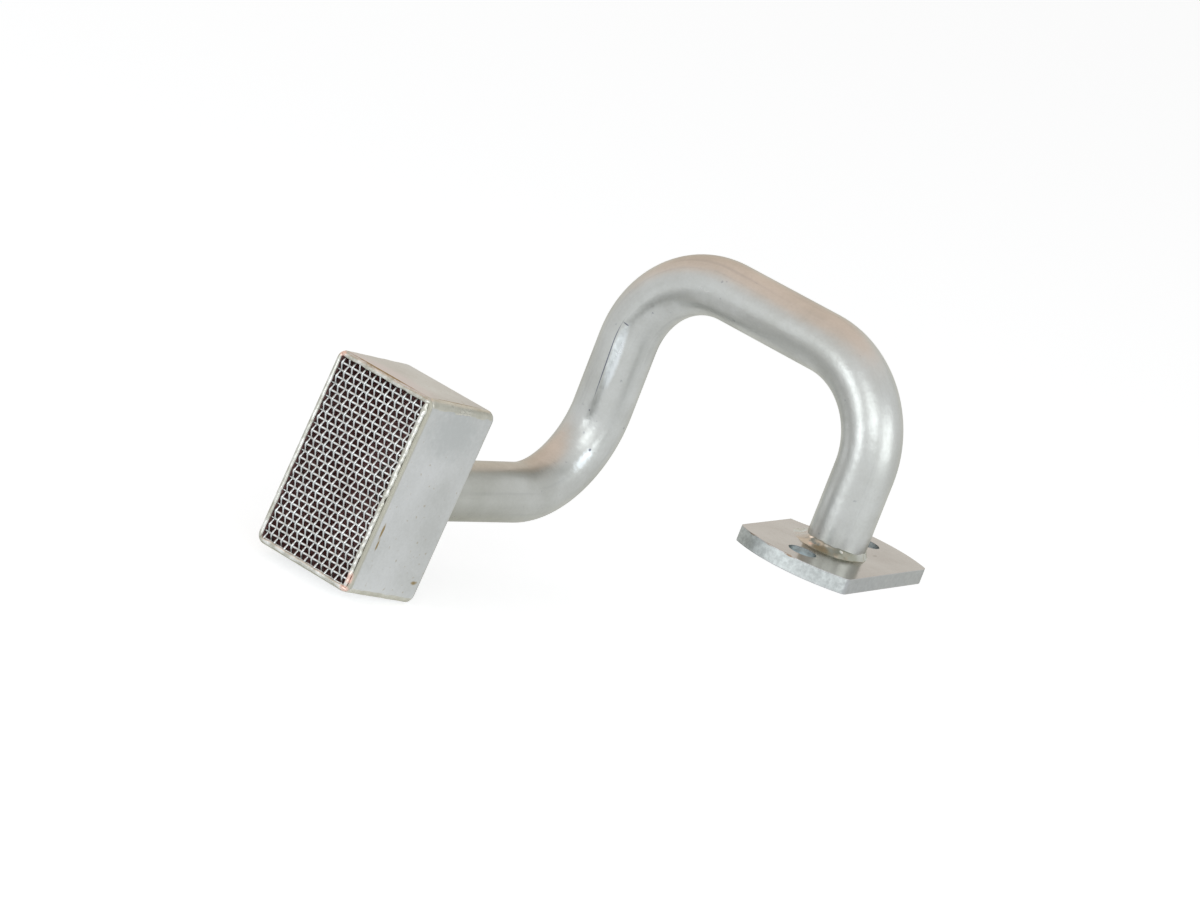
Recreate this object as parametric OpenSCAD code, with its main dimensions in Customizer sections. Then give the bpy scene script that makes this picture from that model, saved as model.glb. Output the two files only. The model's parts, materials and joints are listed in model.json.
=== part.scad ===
// Oil pickup tube: a bent steel tube with a two-bolt flange at one end and a box strainer at the other.
// Millimetres. Origin at the centre of the flange's mating face, +Z up the first leg of the tube.
// The tube is laid out as on a bending chart: run, bend, run, bend, run, bend, run.

/* [Tube] */
// Outside diameter of the tube
tube_od = 19; // [14:0.5:24]
// Wall thickness of the tube
tube_wall = 1.6; // [1:0.1:2.5]
// Centre-line radius of every bend
bend_r = 30; // [22:1:40]
// Straight leg from the flange's mating face to the first bend
leg_len = 30; // [18:1:60]
// Straight run across, between the first and the second bend
cross_len = 37.5; // [20:0.5:90]
// Straight run down, between the second and the third bend
drop_len = 22.5; // [10:0.5:60]
// Straight run from the third bend to the back of the strainer
inlet_len = 54; // [24:0.5:80]
// Length of tube past the outside of the strainer's back
tube_reach = 4; // [3:0.5:8]
// Radial clearance of the tube in the flange and in the strainer's back
tube_fit = 0.1; // [0.05:0.05:0.3]

/* [Flange] */
// Thickness of the flange plate
flange_t = 5; // [3:0.5:8]
// Radius of the plate's two rounded ends
flange_r = 34; // [31:0.5:42]
// Width of the plate across its two flat sides
flange_w = 39.5; // [34:0.5:46]
// Radius on the corners where the flats meet the round ends
flange_corner = 2; // [0.5:0.5:4]
// Distance between the two bolt holes
bolt_spacing = 45; // [42:0.5:52]
// Diameter of the bolt holes
bolt_d = 9; // [6:0.5:10]
// Turn of the line of bolt holes away from the Y axis
flange_turn = 8.5; // [-30:0.5:30]
// Radius of the relief cut out of one corner
relief_r = 16.5; // [10:0.5:17]
// Distance of the relief's centre from the tube's axis, across the plate
relief_x = 23.5; // [22:0.5:28]
// Distance of the relief's centre from the tube's axis, along the plate
relief_y = 23; // [20:0.5:30]

/* [Strainer] */
// Length of the strainer box
strainer_len = 64; // [50:1:90]
// Width of the strainer box
strainer_w = 39; // [34:1:60]
// Depth of the strainer box from its back to its screen
strainer_depth = 35; // [20:1:50]
// Thickness of the folded sheet
sheet_t = 1.5; // [1:0.1:2.5]
// Outside radius of the folds round the back and of the four corners
fold_r = 3; // [2.6:0.2:5]
// Distance of the box's middle above the tube's axis
strainer_rise = 2; // [0:0.5:8]
// Tilt of the box on the tube, which tips the screen up
strainer_tilt = 6; // [0:0.5:10]

/* [Screen] */
// Thickness of the ridges that stand for the woven wires
ridge_t = 1; // [0.6:0.1:1.4]
// Number of gaps across the screen
gaps_across = 8; // [4:1:8]
// Number of gaps along the screen
gaps_along = 14; // [6:1:14]
// Width of the solid selvage round the screen
selvage = 1.4; // [0.8:0.1:3]
// Depth that the ridges of one direction lie behind the other
weave_depth = 0.6; // [0.2:0.1:0.8]
// Clearance between the screen's edge and the box walls
screen_fit = 0.1; // [0.05:0.05:0.3]

/* [Welds] */
// Leg of the weld on the flange plate
flange_weld_leg = 5; // [3:0.5:7]
// Height of that weld up the tube
flange_weld_h = 3; // [2:0.5:6]
// Leg of the weld on the strainer's back
inlet_weld_leg = 3.5; // [2:0.5:6]
// Height of that weld along the tube
inlet_weld_h = 3; // [2:0.5:6]
// Blunt edge of both welds
weld_edge = 0.6; // [0.3:0.1:1]
// Width of the brazed seams along the box corners
seam_w = 2; // [1.2:0.1:2.6]
// Height of the braze round the screen
braze_h = 0.6; // [0.3:0.1:1.2]
// Distance of that braze from the outer edge of the box
braze_inset = 0.4; // [0.2:0.1:0.8]

/* [Hidden] */
$fn = 96;
tube_r = tube_od / 2;
bore_r = tube_r - tube_wall;
seat_r = tube_r + tube_fit;
// Every bend is a square one, and the last one lies square to the plane of the first two
bend_angle = 90;
clamp_turn = 90;
// Overrun of cutting solids past the faces they cut
cut = 1;
// Centre of a plate corner's round, across and along the plate
corner_x = flange_w / 2 - flange_corner;
corner_y = sqrt(pow(flange_r - flange_corner, 2) - pow(corner_x, 2));
inner_len = strainer_len - 2 * sheet_t;
inner_w = strainer_w - 2 * sheet_t;
screen_len = inner_len - 2 * screen_fit;
screen_w = inner_w - 2 * screen_fit;

// Children at the far end of a straight run along +Z
module after_run(len) {
    translate([0, 0, len]) children();
}

// Children at the far end of a bend that turns +Z towards -X
module after_bend() {
    translate([-bend_r, 0, 0]) rotate([0, -bend_angle, 0]) translate([bend_r, 0, 0]) children();
}

// Round bar of radius r along a bend that turns +Z towards -X
module bend_bar(r) {
    translate([-bend_r, 0, 0]) rotate([90, 0, 0]) rotate_extrude(angle = bend_angle)
        translate([bend_r, 0]) circle(r);
}

// Start of the run across
module cross_frame() {
    after_run(leg_len) after_bend() children();
}

// Start of the run down, with the tube turned in its clamp for a last bend out of the others' plane
module drop_frame() {
    cross_frame() after_run(cross_len) after_bend() rotate([0, 0, clamp_turn]) children();
}

// Start of the run to the strainer
module inlet_frame() {
    drop_frame() after_run(drop_len) after_bend() children();
}

// Middle of the strainer's back, +Z towards the screen and +X down the length of the box
module strainer_frame() {
    inlet_frame() after_run(inlet_len) rotate([0, -strainer_tilt, 0])
        translate([-strainer_rise, 0, 0]) children();
}

// Round bar along the whole bent tube, with its two ends carried past the tube's by extra
module tube_bar(r, extra) {
    translate([0, 0, -extra]) cylinder(r = r, h = leg_len + extra);
    after_run(leg_len) bend_bar(r);
    cross_frame() cylinder(r = r, h = cross_len);
    cross_frame() after_run(cross_len) bend_bar(r);
    drop_frame() cylinder(r = r, h = drop_len);
    drop_frame() after_run(drop_len) bend_bar(r);
    inlet_frame() cylinder(r = r, h = inlet_len + tube_reach + extra);
}

module tube() {
    color("silver") difference() {
        tube_bar(tube_r, 0);
        tube_bar(bore_r, cut);
    }
}

// Tip of a plate corner beyond the chord of its round
module corner_tip(side, end) {
    reach = flange_r / (flange_r - flange_corner);
    beyond = flange_r * 1.1;
    translate([0, 0, -cut]) linear_extrude(flange_t + 2 * cut) polygon([
        [side * flange_w / 2, end * corner_y],
        [side * corner_x * reach, end * corner_y * reach],
        [side * flange_w / 2, end * beyond],
        [side * beyond, end * corner_y]
    ]);
}

module flange_blank() {
    difference() {
        intersection() {
            cylinder(r = flange_r, h = flange_t);
            translate([-flange_w / 2, -flange_r, 0]) cube([flange_w, 2 * flange_r, flange_t]);
        }
        for (side = [-1, 1], end = [-1, 1]) corner_tip(side, end);
    }
    for (side = [-1, 1], end = [-1, 1])
        translate([side * corner_x, end * corner_y, 0]) cylinder(r = flange_corner, h = flange_t);
}

module flange() {
    through = flange_t + 2 * cut;
    color("gainsboro") rotate([0, 0, flange_turn]) difference() {
        flange_blank();
        translate([0, 0, -cut]) cylinder(r = seat_r, h = through);
        for (end = [-1, 1]) translate([0, end * bolt_spacing / 2, -cut]) cylinder(d = bolt_d, h = through);
        translate([-relief_x, relief_y, -cut]) cylinder(r = relief_r, h = through);
    }
}

// Solid cone of a fillet weld: leg along the plate, height up the tube
module weld_cone(leg, height) {
    rotate_extrude() polygon([
        [0, 0],
        [tube_r + leg, 0],
        [tube_r + leg, weld_edge],
        [tube_r + weld_edge, height],
        [0, height]
    ]);
}

module flange_weld() {
    color("darkkhaki") difference() {
        translate([0, 0, flange_t]) weld_cone(flange_weld_leg, flange_weld_h);
        cylinder(r = tube_r, h = leg_len);
    }
}

module inlet_weld() {
    color("darkkhaki") difference() {
        strainer_frame() translate([strainer_rise, 0, 0]) mirror([0, 0, 1])
            weld_cone(inlet_weld_leg, inlet_weld_h);
        inlet_frame() cylinder(r = tube_r, h = inlet_len + tube_reach);
    }
}

// Block with rounded corners: a flat middle with the 2-D strip that is its child run round all four sides
module edged_block(flat_len, flat_w, back, front) {
    translate([-flat_len / 2, -flat_w / 2, back]) cube([flat_len, flat_w, front - back]);
    for (turn = [0 : 3]) {
        ahead = turn % 2 == 0 ? flat_len : flat_w;
        across = turn % 2 == 0 ? flat_w : flat_len;
        rotate([0, 0, 90 * turn]) translate([ahead / 2, across / 2, 0]) {
            rotate([90, 0, 0]) linear_extrude(across) children();
            rotate_extrude(angle = 90) children();
        }
    }
}

// Pan form with its four back edges and its four corners rounded
module pan(len, w, back, front, radius) {
    edged_block(len - 2 * radius, w - 2 * radius, back, front) translate([0, back + radius]) {
        square([radius, front - back - radius]);
        intersection() {
            circle(radius);
            translate([0, -2 * radius]) square(2 * radius);
        }
    }
}

// Flat plate with rounded corners, its underside at z = 0
module rounded_plate(len, w, height, radius) {
    edged_block(len - 2 * radius, w - 2 * radius, 0, height) square([radius, height]);
}

// Strip along each corner of the box, half the sheet deep, which the brazed seam fills
module corner_grooves() {
    deep = sheet_t / 2;
    difference() {
        for (sx = [-1, 1], sy = [-1, 1])
            translate([sx * (strainer_len / 2 - fold_r), sy * (strainer_w / 2 - fold_r), fold_r / 2])
                rotate([0, 0, atan2(sy, sx)]) translate([0, -seam_w / 2, 0])
                    cube([fold_r + cut, seam_w, strainer_depth]);
        pan(strainer_len - 2 * deep, strainer_w - 2 * deep, deep, strainer_depth + 2 * cut, fold_r - deep);
    }
}

module strainer_box() {
    color("lightgray") difference() {
        strainer_frame() difference() {
            pan(strainer_len, strainer_w, 0, strainer_depth, fold_r);
            pan(inner_len, inner_w, sheet_t, strainer_depth + cut, fold_r - sheet_t);
            corner_grooves();
        }
        inlet_frame() cylinder(r = seat_r, h = inlet_len + tube_reach + cut);
    }
}

module corner_seams() {
    color("tan") strainer_frame() intersection() {
        pan(strainer_len, strainer_w, 0, strainer_depth, fold_r);
        corner_grooves();
    }
}

// Row of ridges between the selvages: count gaps over span, each ridge long enough to join both sides
module ridges(count, span, length) {
    pitch = (span - 2 * selvage + ridge_t) / count;
    for (i = [1 : count - 1])
        translate([-span / 2 + selvage - ridge_t / 2 + i * pitch, 0, 0])
            cube([ridge_t, length, ridge_t], center = true);
}

// Woven screen: ridges along and across at two depths inside a solid selvage, flush with the box's rim
module screen() {
    thick = ridge_t + weave_depth;
    color("dimgray") strainer_frame() translate([0, 0, strainer_depth]) {
        difference() {
            translate([0, 0, -thick])
                rounded_plate(screen_len, screen_w, thick, fold_r - sheet_t - screen_fit);
            translate([-screen_len / 2 + selvage, -screen_w / 2 + selvage, -thick - cut])
                cube([screen_len - 2 * selvage, screen_w - 2 * selvage, thick + 2 * cut]);
        }
        translate([0, 0, -ridge_t / 2]) ridges(gaps_along, screen_len, screen_w - selvage);
        translate([0, 0, -thick + ridge_t / 2]) rotate([0, 0, 90])
            ridges(gaps_across, screen_w, screen_len - selvage);
    }
}

// Raised border of braze that joins the screen's selvage to the rim of the box
module screen_braze() {
    outer_len = strainer_len - 2 * braze_inset;
    outer_w = strainer_w - 2 * braze_inset;
    border = sheet_t - braze_inset + screen_fit + selvage;
    color("lightgray") strainer_frame() translate([0, 0, strainer_depth]) difference() {
        rounded_plate(outer_len, outer_w, braze_h, fold_r - braze_inset);
        translate([-outer_len / 2 + border, -outer_w / 2 + border, -cut])
            cube([outer_len - 2 * border, outer_w - 2 * border, braze_h + 2 * cut]);
    }
}

tube();
flange();
flange_weld();
strainer_box();
inlet_weld();
corner_seams();
screen();
screen_braze();
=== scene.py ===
# %% [markdown]
# # An oil pickup tube
# An oil pickup hangs from the oil pump down into an engine's sump. A bent steel tube carries the oil up,
# a plate flange bolts it to the pump, and a box strainer with a wire screen keeps grit out of the pump.
# The whole part is a weldment: tube, plate, folded box and screen are joined by weld and braze, and then
# plated with zinc in one bath. So the look is one bright satin metal with small differences from piece to
# piece, and most of the work goes into shape, seams and how each surface was made.
#
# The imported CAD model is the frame. Each piece below stands for one CAD node and lies exactly on it, with
# what a plain solid lacks: soft edges, uneven beads and a screen that is really woven.

# %% Load the frame
import json
import math

import bmesh
import bpy
from mathutils import Matrix, Vector, noise

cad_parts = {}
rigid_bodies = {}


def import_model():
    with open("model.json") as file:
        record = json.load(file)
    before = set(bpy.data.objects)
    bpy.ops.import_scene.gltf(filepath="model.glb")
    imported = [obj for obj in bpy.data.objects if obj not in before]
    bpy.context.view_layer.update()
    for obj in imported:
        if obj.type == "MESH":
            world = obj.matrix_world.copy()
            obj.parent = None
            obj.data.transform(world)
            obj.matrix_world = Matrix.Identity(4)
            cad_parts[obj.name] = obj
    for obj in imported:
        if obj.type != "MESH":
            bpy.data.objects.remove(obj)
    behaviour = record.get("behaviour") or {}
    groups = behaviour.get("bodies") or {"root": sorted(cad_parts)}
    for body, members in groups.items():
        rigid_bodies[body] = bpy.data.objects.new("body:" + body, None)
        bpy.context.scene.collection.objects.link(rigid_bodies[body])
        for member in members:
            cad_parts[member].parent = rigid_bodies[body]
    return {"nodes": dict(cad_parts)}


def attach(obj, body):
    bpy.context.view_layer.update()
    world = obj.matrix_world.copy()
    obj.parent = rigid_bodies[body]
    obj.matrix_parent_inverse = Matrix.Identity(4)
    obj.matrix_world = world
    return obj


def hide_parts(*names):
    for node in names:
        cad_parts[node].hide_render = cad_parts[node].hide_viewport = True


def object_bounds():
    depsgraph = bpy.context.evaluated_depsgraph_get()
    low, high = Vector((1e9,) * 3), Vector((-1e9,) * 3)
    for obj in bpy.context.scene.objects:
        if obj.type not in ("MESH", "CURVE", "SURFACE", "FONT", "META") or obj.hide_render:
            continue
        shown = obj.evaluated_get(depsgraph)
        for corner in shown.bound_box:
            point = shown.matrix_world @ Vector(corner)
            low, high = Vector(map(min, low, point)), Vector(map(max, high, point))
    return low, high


for leftover in list(bpy.data.objects):
    bpy.data.objects.remove(leftover)
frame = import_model()
cad_low, cad_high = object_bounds()
scene = bpy.context.scene
scene.view_settings.view_transform = "Standard"
MM = 0.001
print("nodes:", sorted(frame["nodes"]))
print("CAD box in mm:", [round(x / MM, 1) for x in cad_high - cad_low])

# %% [markdown]
# ## The bending chart
# A tube bender works from a chart: so much straight tube, a bend, so much straight tube, the next bend.
# A matrix does the same here. It always stands at the end of the tube so far, with its Z axis pointing
# the way the tube goes on. A run moves it along Z; a bend swings it a quarter turn about a line beside it.

# %% Chart of the tube
TUBE_R, BORE_R, BEND_R = 9.5 * MM, 7.9 * MM, 30 * MM
LEG, CROSS, DROP, INLET, REACH = 30 * MM, 37.5 * MM, 22.5 * MM, 54 * MM, 4 * MM


def after_run(place, length):
    return place @ Matrix.Translation((0, 0, length))


def after_bend(place):
    swing = Matrix.Rotation(-math.pi / 2, 4, "Y")
    return place @ Matrix.Translation((-BEND_R, 0, 0)) @ swing @ Matrix.Translation((BEND_R, 0, 0))


clamp_turn = Matrix.Rotation(math.pi / 2, 4, "Z")
cross_start = after_bend(after_run(Matrix(), LEG))
drop_start = after_bend(after_run(cross_start, CROSS)) @ clamp_turn
inlet_start = after_bend(after_run(drop_start, DROP))
inlet_end = after_run(inlet_start, INLET)
print("strainer end of the tube in mm:", [round(x / MM, 2) for x in inlet_end.translation])

# %% [markdown]
# ## Place of the strainer
# The box sits a little askew on the tube: its middle is 2 mm above the tube's axis and its screen is tipped
# up by 6 degrees. One matrix holds that, so the box, its seams, its screen and its weld share one frame,
# with X down the length of the box, Y across it and Z out through the screen.

# %% Frame of the strainer
BOX_LEN, BOX_W, BOX_DEPTH, SHEET = 64 * MM, 39 * MM, 35 * MM, 1.5 * MM
RISE, TILT = 2 * MM, math.radians(6)
lean = Matrix.Rotation(-TILT, 4, "Y")
strainer = inlet_end @ lean @ Matrix.Translation((-RISE, 0, 0))
print("middle of the strainer's back in mm:", [round(x / MM, 2) for x in strainer.translation])

# %% [markdown]
# ## A helper that hands a finished mesh to the frame
# Each piece is modelled in a bmesh. The helper merges doubles, turns the faces outwards, makes the object,
# hangs it on the root body and hides the CAD node that the piece stands for.

# %% Hand over a piece
def hand_over(bm, name, node, smooth_angle=40):
    bmesh.ops.remove_doubles(bm, verts=bm.verts, dist=1e-7)
    bmesh.ops.recalc_face_normals(bm, faces=bm.faces)
    mesh = bpy.data.meshes.new(name)
    bm.to_mesh(mesh)
    bm.free()
    mesh.shade_smooth()
    mesh.set_sharp_from_angle(angle=math.radians(smooth_angle))
    piece = bpy.data.objects.new(name, mesh)
    scene.collection.objects.link(piece)
    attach(piece, "root")
    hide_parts(node)
    print(name, "has", len(mesh.polygons), "faces and stands for", node)
    return piece


# %% [markdown]
# ## The tube
# A real tube is drawn straight and then bent, so this one is too: two circles, the outside and the bore,
# are pushed along each run and spun round each bend, one short step at a time. Every ring remembers where
# it lay before bending in a chart attribute. A finish that reads that attribute runs along the tube and
# follows the bends, as the draw marks on real tube do.

# %% Two circles to start from
bm = bmesh.new()
chart = bm.verts.layers.float_vector.new("chart")
for radius in (TUBE_R, BORE_R):
    bmesh.ops.create_circle(bm, segments=72, radius=radius)
for v in bm.verts:
    v[chart] = (v.co.x, v.co.y, 0)
mouth, drawn = list(bm.edges), 0.0
ring = mouth
print("rings of", len(mouth), "edges")

# %% [markdown]
# A push and a spin both hand back what they made. The next helper finds the new ring in it, whose edges
# still have a face on one side only, and writes on its points how much tube has been drawn so far.

# %% Push a run, spin a bend
def next_ring(grown, length):
    global ring, drawn
    drawn += length
    verts = [g for g in grown if isinstance(g, bmesh.types.BMVert)]
    for v in verts:
        v[chart].z = drawn
    ring = [g for g in grown if isinstance(g, bmesh.types.BMEdge) and len(g.link_faces) == 1]
    return verts


def push_run(place, length):
    verts = next_ring(bmesh.ops.extrude_edge_only(bm, edges=ring)["geom"], length)
    bmesh.ops.translate(bm, verts=verts, vec=place.to_3x3() @ Vector((0, 0, length)))


def spin_bend(place, steps=28):
    centre, axis = place @ Vector((-BEND_R, 0, 0)), place.to_3x3() @ Vector((0, -1, 0))
    turn = math.pi / 2 / steps
    for _ in range(steps):
        spun = bmesh.ops.spin(bm, geom=ring, cent=centre, axis=axis, angle=turn, steps=1)
        next_ring(spun["geom_last"], turn * BEND_R)


for start, length in ((Matrix(), LEG), (cross_start, CROSS), (drop_start, DROP)):
    push_run(start, length)
    spin_bend(after_run(start, length))
    print("drawn so far:", round(drawn / MM, 1), "mm")
push_run(inlet_start, INLET + REACH)
for end in (mouth, ring):
    bmesh.ops.bridge_loops(bm, edges=end)
tube = hand_over(bm, "bent_tube", "tube")

# %% [markdown]
# The chart turns the tube in its clamp before the last bend. The rings need no such turn: a circle turned
# on its own axis is the same circle. Only the place of the bend's centre line feels it, and that comes
# from the matrices. The finished tube has to fill the CAD tube's box; the next cell measures the tube's
# extent.

# %% Measure the tube
for side, pick in ((0, min), (1, max)):
    made = [round(pick(v.co[i] for v in tube.data.vertices) / MM, 2) for i in range(3)]

# %% [markdown]
# ## The flange plate
# The plate is blanked from flat bar: two round ends, two flat sides, slightly rounded corners, and a round
# bite out of one corner that clears a neighbour on the engine. A disc cut by two planes gives the blank,
# and bevelling its four corner points rounds them. The holes are punched, so they come from a Boolean with
# a set of round punches. Punching leaves a small roll on every edge, which the Bevel modifier adds.

# %% Blank the plate
PLATE_T, PLATE_R, PLATE_W, PLATE_TURN = 5 * MM, 33.99 * MM, 39.5 * MM, math.radians(8.5)
CORNER_R = 1.4 * MM
bm = bmesh.new()
bmesh.ops.create_circle(bm, cap_ends=True, segments=160, radius=PLATE_R)
for side in (-1, 1):
    bmesh.ops.bisect_plane(
        bm, geom=bm.verts[:] + bm.edges[:] + bm.faces[:], clear_outer=True,
        plane_co=(side * PLATE_W / 2, 0, 0), plane_no=(side, 0, 0))
longest = sorted(bm.edges, key=lambda e: e.calc_length())[-2:]
corners = [v for e in longest for v in e.verts]
bmesh.ops.bevel(bm, geom=corners, offset=CORNER_R, affect="VERTICES", segments=6, profile=0.5, material=-1)
lifted = bmesh.ops.extrude_face_region(bm, geom=bm.faces[:])["geom"]
lifted = [g for g in lifted if isinstance(g, bmesh.types.BMVert)]
bmesh.ops.translate(bm, verts=lifted, vec=(0, 0, PLATE_T))
bmesh.ops.rotate(bm, verts=bm.verts, matrix=Matrix.Rotation(PLATE_TURN, 3, "Z"))
flange = hand_over(bm, "flange_plate", "flange", smooth_angle=30)

# %% [markdown]
# The punches are plain cylinders a little longer than the plate is thick. They cut, and are thrown away
# once the cut is part of the plate's own mesh.

# %% Punch the holes
def cut_with(piece, punches):
    """Cuts (radius, place, length) cylinders along each place's Z out of a piece, for good."""
    bm = bmesh.new()
    for radius, place, length in punches:
        bmesh.ops.create_cone(bm, cap_ends=True, segments=96, radius1=radius, radius2=radius,
                              depth=length, matrix=place)
    mesh = bpy.data.meshes.new("punches")
    bm.to_mesh(mesh)
    bm.free()
    tool = bpy.data.objects.new("punches", mesh)
    scene.collection.objects.link(tool)
    cut = piece.modifiers.new("punch", "BOOLEAN")
    cut.operation, cut.solver, cut.object = "DIFFERENCE", "EXACT", tool
    evaluated = piece.evaluated_get(bpy.context.evaluated_depsgraph_get())
    cut_mesh = bpy.data.meshes.new_from_object(evaluated)
    piece.modifiers.clear()
    old, piece.data = piece.data, cut_mesh
    cut_mesh.name = piece.name
    bpy.data.objects.remove(tool)
    bpy.data.meshes.remove(mesh)
    bpy.data.meshes.remove(old)
    print(piece.name, "was cut", len(punches), "times and has", len(cut_mesh.polygons), "faces")


def roll_edges(piece, width, angle=30):
    """Rounds the edges that turn by more than angle, in degrees."""
    roll = piece.modifiers.new("rolled edges", "BEVEL")
    roll.width, roll.segments, roll.profile = width, 4, 0.5
    roll.limit_method, roll.angle_limit = "ANGLE", math.radians(angle)
    roll.harden_normals = True


BOLT_R, BOLT_AT = 4.5 * MM, 22.5 * MM
RELIEF_R, RELIEF_X, RELIEF_Y = 16.5 * MM, -23.5 * MM, 23 * MM
SEAT_R = TUBE_R + 0.1 * MM
turned = Matrix.Rotation(PLATE_TURN, 4, "Z")
punches = []
for radius, x, y in ((SEAT_R, 0, 0), (BOLT_R, 0, -BOLT_AT), (BOLT_R, 0, BOLT_AT),
                     (RELIEF_R, RELIEF_X, RELIEF_Y)):
    punches.append((radius, turned @ Matrix.Translation((x, y, PLATE_T / 2)), 3 * PLATE_T))
cut_with(flange, punches)
roll_edges(flange, width=0.6 * MM)

# %% [markdown]
# ## The strainer box
# The box is one blank of sheet with its four sides folded up, open at the front. A cube without its front
# face has that form, and one bevel over its back edges and its corners gives the folds and the rounded
# corners in one go. The same is made once more, smaller by the sheet on every side, and bridging the two
# open fronts makes the cut edge of the sheet. A bridge between two rims in one plane has no direction to go
# by and can twist, so the inner rim is sunk while the bridge is made. The inner faces get a material of
# their own, because the plating bath hardly reaches them and because their dark colour is partly painted
# shade.
# The hole for the tube is bored along the tube and not square to the back, because the box sits askew.

# %% Fold the box
FOLD, BORE_DEPTH = 3 * MM, 8 * MM
OUTSIDE, INSIDE = 0, 1


def fold_pan(bm, inset, fold, finish):
    """Open pan inside the box's outline by inset; returns the edges of its open front."""
    old_faces, old_edges = set(bm.faces), set(bm.edges)
    made = bmesh.ops.create_cube(bm, size=1)["verts"]
    bmesh.ops.scale(bm, vec=(BOX_LEN - 2 * inset, BOX_W - 2 * inset, BOX_DEPTH - inset), verts=made)
    bmesh.ops.translate(bm, vec=(0, 0, (BOX_DEPTH + inset) / 2), verts=made)
    bm.normal_update()
    front = [f for f in bm.faces if f not in old_faces and f.normal.z > 0.5]
    bmesh.ops.delete(bm, geom=front, context="FACES_ONLY")
    folds = [e for e in bm.edges if e not in old_edges and not e.is_boundary]
    bmesh.ops.bevel(bm, geom=folds, offset=fold, affect="EDGES", segments=8, profile=0.5, material=-1)
    for f in bm.faces:
        if f not in old_faces:
            f.material_index = finish
    return [e for e in bm.edges if e not in old_edges and e.is_boundary]


bm = bmesh.new()
outer_rim = fold_pan(bm, 0, FOLD, OUTSIDE)
inner_rim = fold_pan(bm, SHEET, FOLD - SHEET, INSIDE)
inner_verts = list({v for e in inner_rim for v in e.verts})
bmesh.ops.translate(bm, verts=inner_verts, vec=(0, 0, -BOX_DEPTH / 2))
bmesh.ops.bridge_loops(bm, edges=outer_rim + inner_rim)
bmesh.ops.translate(bm, verts=inner_verts, vec=(0, 0, BOX_DEPTH / 2))
bmesh.ops.transform(bm, matrix=strainer, verts=bm.verts)
box = hand_over(bm, "strainer_pan", "strainer_box", smooth_angle=35)
cut_with(box, [(SEAT_R, inlet_end, BORE_DEPTH)])
roll_edges(box, width=0.5 * MM, angle=50)

# %% [markdown]
# ## Weld beads round the tube
# A fillet weld is a ring with a three-cornered section and a slightly hollow face, drawn here as a closed
# line of points from the tube down to the plate and spun right round the tube. Its root is sunk a little
# into both. A hand-run bead is never even, so its toe then wanders in and out on noise, lumps lie on its
# face, and shallow ripples show where the pool froze step by step. On one side the torch went by faster,
# and the bead is thin there. The weld on the strainer's back is made the same way, smaller, and leans with
# the box.

# %% Spin a weld bead
SUNK = 0.3 * MM
HOLLOW, FACE_STEPS = 2.2, 8  # a HOLLOW of 2 is a straight slope


def spin_bead(leg, height, seed, ripples, thin_side=0.0, thinned=0.0):
    """Ring of weld round the Z axis: leg out along the plate, height up the tube, thinned on one side."""
    bm = bmesh.new()
    section = [(TUBE_R - SUNK, -SUNK), (TUBE_R - SUNK, height)]
    for step in range(1, FACE_STEPS + 1):
        angle = step / FACE_STEPS * math.pi / 2
        section.append((TUBE_R + leg * math.sin(angle) ** HOLLOW, height * math.cos(angle) ** HOLLOW))
    section.append((TUBE_R + leg, -SUNK))
    line = [bm.verts.new((r, 0, z)) for r, z in section]
    for a, b in zip(line, line[1:] + line[:1]):
        bm.edges.new((a, b))
    bmesh.ops.spin(bm, geom=bm.verts[:] + bm.edges[:], cent=(0, 0, 0), axis=(0, 0, 1),
                   angle=math.tau, steps=180, use_merge=True)
    for v in bm.verts:
        if v.co.z < -SUNK / 2:
            continue
        out = Vector((v.co.x, v.co.y, 0))
        way, turn = out.normalized(), math.atan2(v.co.y, v.co.x)
        share = max(0.0, (out.length - TUBE_R) / leg)
        slow = noise.noise(way * 1.6 + Vector((seed, 0, 0)))
        fast = noise.noise(way * 5.0 + Vector((seed, 7, 0)))
        lump = noise.noise(way * 3.4 + Vector((0, 0, seed + 1.6 * share)))
        ripple = math.sin(ripples * turn + 3 * share + 2 * fast)
        belly = math.sin(math.pi * min(share, 1))
        v.co.z *= 1 - 0.18 * (1 + slow) - 0.10 * (1 + fast)
        v.co.z += (0.04 * ripple + 0.6 * lump) * MM * belly
        thin = thinned * max(0.0, math.cos(turn - thin_side))
        v.co -= way * leg * share * (0.10 * (1 + slow) + 0.10 * (1 + fast) + thin)
    return bm


bm = spin_bead(leg=5 * MM, height=3 * MM, seed=2.0, ripples=34, thin_side=math.radians(33), thinned=0.6)
bmesh.ops.translate(bm, verts=bm.verts, vec=(0, 0, PLATE_T))
foot_weld = hand_over(bm, "foot_weld_bead", "flange_weld", smooth_angle=60)
bm = spin_bead(leg=3.4 * MM, height=3 * MM, seed=9.0, ripples=30)
flip = Matrix.Rotation(math.pi, 4, "X")
bmesh.ops.transform(bm, matrix=inlet_end @ lean @ flip, verts=bm.verts)
neck_weld = hand_over(bm, "neck_weld_bead", "inlet_weld", smooth_angle=60)

# %% [markdown]
# ## Runs of braze
# Braze is run into the open corners of the box and round the edge of the screen. It flows more than weld
# does: a low, smooth run with soft lumps and a wavy edge. Each run is a cylinder cut into short lengths,
# flattened, and swollen and pinched by noise along its length: the lumpier the run, the closer its lumps.
# The seams are also bent round the rounded corners that they fill.

# %% Lay a run of braze
RUN_STEP = 0.5 * MM


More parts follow.
